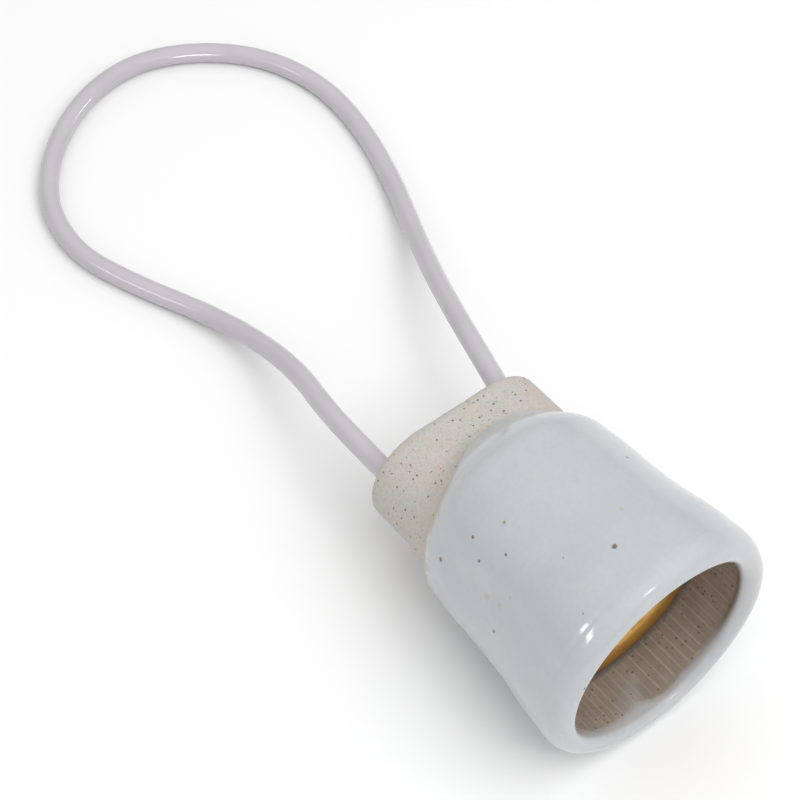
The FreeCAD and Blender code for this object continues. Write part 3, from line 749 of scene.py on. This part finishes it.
def turned(name, outline, slot, body, y=0.0, z=0.0, around=48):
    """Solid of revolution from (x, radius) points; the first and last lie on its own axis."""
    angles = np.arange(around) * TAU / around
    path = np.array(outline[1:-1])
    rings = place_rings(np.repeat(path[:, :1], around, 1), np.repeat(path[:, 1:], around, 1), angles)
    corners, faces = closed_by_poles(rings + [0, y, z], [(outline[0][0], y, z), (outline[-1][0], y, z)])
    return add_mesh(name, corners, faces, slot, body)


def rounded(start, centre, radii, first, last, count):
    """Points of a quarter round or dome, start being skipped when it repeats the point before."""
    turns = np.radians(np.linspace(first, last, count))[start:]
    return [(centre[0] + radii[0] * math.sin(turn), centre[1] + radii[1] * math.cos(turn)) for turn in turns]


def rivet(name, node, y, z):
    """Semi-tubular rivet: domed ring with a dimple in front, a spread tail behind."""
    head, tail = FLOOR_X + SHEET, POCKET_DEPTH - 0.5
    shank, brim = 1.2, 1.86
    outline = [(head + 0.42, 0), (head + 0.42, 0.35), (head + 0.47, 0.5)]
    outline += [(head + 0.70, 0.68), (head + 0.79, 0.85), (head + 0.80, 1.05)]
    outline += rounded(1, (head + 0.05, 1.05), (0.75, 0.85), 90, 0, 8)
    outline += [(head, brim), (head, shank), (tail - 0.1, shank), (tail - 0.02, brim)]
    outline += rounded(0, (tail - 0.12, shank), (-0.68, 0.7), 0, 80, 6)
    outline += [(tail - 0.8, 0.9), (tail - 0.5, 0.6), (tail - 0.45, 0)]
    made = turned(name, outline, "brass", "holder", y, z)
    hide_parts(node)


SHELL_RIVETS = {"left": (-10.0, 3.9), "right": (10.0, 3.9)}
CONTACT_RIVET = (0.0, -4.2)
for side, (y, z) in SHELL_RIVETS.items():
    rivet("rivet_shell_" + side, "shell_rivet_" + side, y, z)
rivet("rivet_contact", "contact_rivet", *CONTACT_RIVET)

FOOT_REAR, FOOT_FRONT, FOOT_WIDTH = -6.4, -2.2, 5.6
TONGUE_RISE, TONGUE_FLAT = 3.4, (0.6, 3.4)


def round_end_width(distance, half_width):
    """Half width of a strip with a half-round end, by distance from that end."""
    return np.sqrt(np.maximum(half_width ** 2 - np.maximum(half_width - distance, 0) ** 2, 0.01))


def strip_stops(total, half_width, round_start, round_end):
    """Distances along a strip where it gets a section, closer together over its half-round ends."""
    stops = []
    if round_start:
        stops += list(half_width * (1 - np.cos(np.linspace(0.12, math.pi / 2, 10)[:-1])))
    first = half_width if round_start else 0
    last = total - half_width if round_end else total
    stops += list(np.linspace(first, last, 28))
    if round_end:
        stops += list(total - half_width * (1 - np.cos(np.linspace(math.pi / 2, 0.12, 10)[1:])))
    return np.array(stops)


def strip_section():
    """Section of the sheet with eased edges, as (side, distance out from that side, height) points."""
    ease = 0.12
    section = []
    for across, through_sheet, start in ((1, 1, 0), (-1, 1, 90), (-1, -1, 180), (1, -1, 270)):
        for turn in np.radians(start + np.array([0, 30, 60, 90])):
            section.append((across, ease * (math.cos(turn) - across),
                            through_sheet * (SHEET / 2 - ease) + ease * math.sin(turn)))
    return section


def strip(name, node, line, half_width, round_start, round_end, slot, body):
    """Thin sheet strip along a line of (x, z) points, with half-round ends where asked."""
    line = np.array(line, float)
    travel = np.append(0, np.cumsum(np.linalg.norm(np.diff(line, axis=0), axis=1)))
    stops = strip_stops(travel[-1], half_width, round_start, round_end)
    x, z = np.interp(stops, travel, line[:, 0]), np.interp(stops, travel, line[:, 1])
    slope = np.arctan2(np.gradient(x), np.gradient(z))
    half = np.full(len(stops), float(half_width))
    if round_start:
        half = np.minimum(half, round_end_width(stops, half_width))
    if round_end:
        half = np.minimum(half, round_end_width(travel[-1] - stops, half_width))
    section = strip_section()
    corners = []
    for step in range(len(stops)):
        for across, inset, lift in section:
            corners.append((x[step] + lift * math.cos(slope[step]), across * half[step] + inset,
                            z[step] - lift * math.sin(slope[step])))
    around = len(section)
    faces = [face[::-1] for face in ring_faces(len(stops), around)]
    faces += [tuple(range(around)), tuple(range(len(corners) - 1, len(corners) - around - 1, -1))]
    made = add_mesh(name, corners, faces, slot, body)
    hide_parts(node)
    return made


def bent_line(points, bend, steps=6):
    """(x, z) line whose inner corners are rounded over the length bend on each side."""
    line = [Vector(points[0])]
    for before, corner, after in zip(points, points[1:], points[2:]):
        before, corner, after = Vector(before), Vector(corner), Vector(after)
        start = corner + (before - corner).normalized() * bend
        end = corner + (after - corner).normalized() * bend
        for share in np.linspace(0, 1, steps + 1):
            line.append(start.lerp(corner, share).lerp(corner.lerp(end, share), share))
    return line + [Vector(points[-1])]


def contact():
    """Foot riveted to the floor, springy tongue that bends at its root, and the pip on the tongue."""
    middle = FLOOR_X + SHEET / 2
    tip = middle + TONGUE_RISE
    strip("contact_foot_strip", "contact_foot", [(middle, FOOT_REAR), (middle, FOOT_FRONT)],
          FOOT_WIDTH / 2, True, False, "spring_bronze", "holder")
    line = bent_line([(middle, FOOT_FRONT - 0.6), (middle, FOOT_FRONT + 0.1), (tip, TONGUE_FLAT[0]),
                      (tip, TONGUE_FLAT[1])], 0.5)
    tongue = strip("contact_tongue_strip", "contact_tongue", line, FOOT_WIDTH / 2 - 0.6, False, True,
                   "spring_bronze", None)
    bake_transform(tongue)
    top = tip + SHEET / 2
    outline = [(top + 0.9, 0), (top + 0.89, 0.3)]
    outline += rounded(1, (top + 0.2, 0.45), (0.68, 0.75), 80, 0, 8)
    outline += [(top - 0.05, 1.2), (top - 0.05, 0)]
    pip = turned("contact_button", outline, "copper", "tongue", 0, sum(TONGUE_FLAT) / 2)
    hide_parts("contact_pip")


contact()


# ---- sealing compound and buried pieces ----

def sealing_compound():
    """Filling of the wiring pocket: its face climbs a little at the walls and round the wires."""
    around, wires = 144, (-12.1, 12.7)
    angles = np.arange(around) * TAU / around
    outline = stadium(POCKET_HALF_WIDTH + 0.04, POCKET_HALF_HEIGHT + 0.04, angles)
    shares = 1 - (1 - np.linspace(0.03, 1, 34)) ** 1.3
    rings = []
    for share in shares:
        radius = outline * share
        y, z = radius * np.cos(angles), radius * np.sin(angles)
        wall_gap = outline - radius
        climb = 0.4 * np.exp(-wall_gap / 0.6)
        for wire_y in wires:
            gap = np.maximum(np.hypot(y - wire_y, z) - WIRE_DIAMETER / 2, 0)
            climb = np.maximum(climb, 0.45 * np.exp(-gap / 0.7))
        lumps = 0.09 * np.sin(0.9 * y + 1.2) * np.sin(1.1 * z + 0.4) + 0.06 * np.sin(2.1 * y - 1.3 * z)
        lumps = lumps * share ** 2 * (1 - share ** 6)
        rings.append(np.stack([COMPOUND_REAR - climb + lumps, y, z], axis=-1))
    front = rings[-1].copy()
    front[:, 0] = POCKET_DEPTH - 0.05
    rings = np.array([*rings, front])[::-1]
    corners, faces = closed_by_poles(rings, [(POCKET_DEPTH - 0.05, 0, 0), (COMPOUND_REAR, 0, 0)])
    made = add_mesh("compound_filling", corners, faces, "sealing_compound")
    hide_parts("sealing_compound")


sealing_compound()

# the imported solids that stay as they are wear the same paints
for subpart in frame["record"]["subparts"]:
    node = frame["nodes"][subpart["node"]]
    node.data.materials.clear()
    node.data.materials.append(PAINTS[subpart["material_slot"]])
    node.data.shade_smooth()
    node.data.set_sharp_from_angle(angle=math.radians(35))


# ---- wire loop ----

ROUTE = [
    (-0.0269, 0.0130, 0.0175), (-0.0351, 0.0153, 0.0167), (-0.0470, 0.0189, 0.0144),
    (-0.0595, 0.0239, 0.0100), (-0.0720, 0.0299, 0.0048), (-0.0845, 0.0355, 0.0020),
    (-0.0980, 0.0392, 0.00185), (-0.1115, 0.0400, 0.00185), (-0.1235, 0.0358, 0.00185),
    (-0.1326, 0.0270, 0.00185), (-0.1382, 0.0145, 0.00185), (-0.1368, 0.0015, 0.00185),
    (-0.1298, -0.0108, 0.00185), (-0.1190, -0.0198, 0.00185), (-0.1060, -0.0219, 0.00185),
    (-0.0935, -0.0170, 0.00185), (-0.0815, -0.0110, 0.0024), (-0.0690, -0.0082, 0.0056),
    (-0.0565, -0.0090, 0.0112), (-0.0455, -0.0114, 0.0146), (-0.0360, -0.0121, 0.0166),
    (-0.0269, -0.0121, 0.0175),
]


def lead_loop():
    curve = bpy.data.curves.new("wire_loop", "CURVE")
    curve.dimensions = "3D"
    spline = curve.splines.new("NURBS")
    spline.points.add(len(ROUTE) - 1)
    for point, place in zip(spline.points, ROUTE):
        point.co = (*place, 1)
    spline.order_u = 3
    spline.use_endpoint_u = True
    spline.resolution_u = 12
    curve.bevel_depth = WIRE_DIAMETER / 2 * MM
    curve.bevel_resolution = 8
    curve.materials.append(PAINTS["wire_insulation"])
    wire = bpy.data.objects.new("wire_loop", curve)
    bpy.context.scene.collection.objects.link(wire)
    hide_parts("lead_loop")
    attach(wire, "holder")
    return wire


WIRE = lead_loop()


def glints():
    """Two small cards that show only as thin highlights along the wire."""
    lit = bpy.data.collections.new("lit_by_glints")
    lit.objects.link(WIRE)
    for name, place, size, power in (("right_glint", (0.33, -0.21, 0.19), (0.20, 0.04), 1.3),
                                     ("back_glint", (0.14, 0.46, 0.13), (0.12, 0.04), 0.4)):
        card = area_light(name, place, (-0.13, 0.015, 0), size, power)
        card.visible_diffuse = False
        card.light_linking.receiver_collection = lit


glints()

bpy.context.view_layer.update()
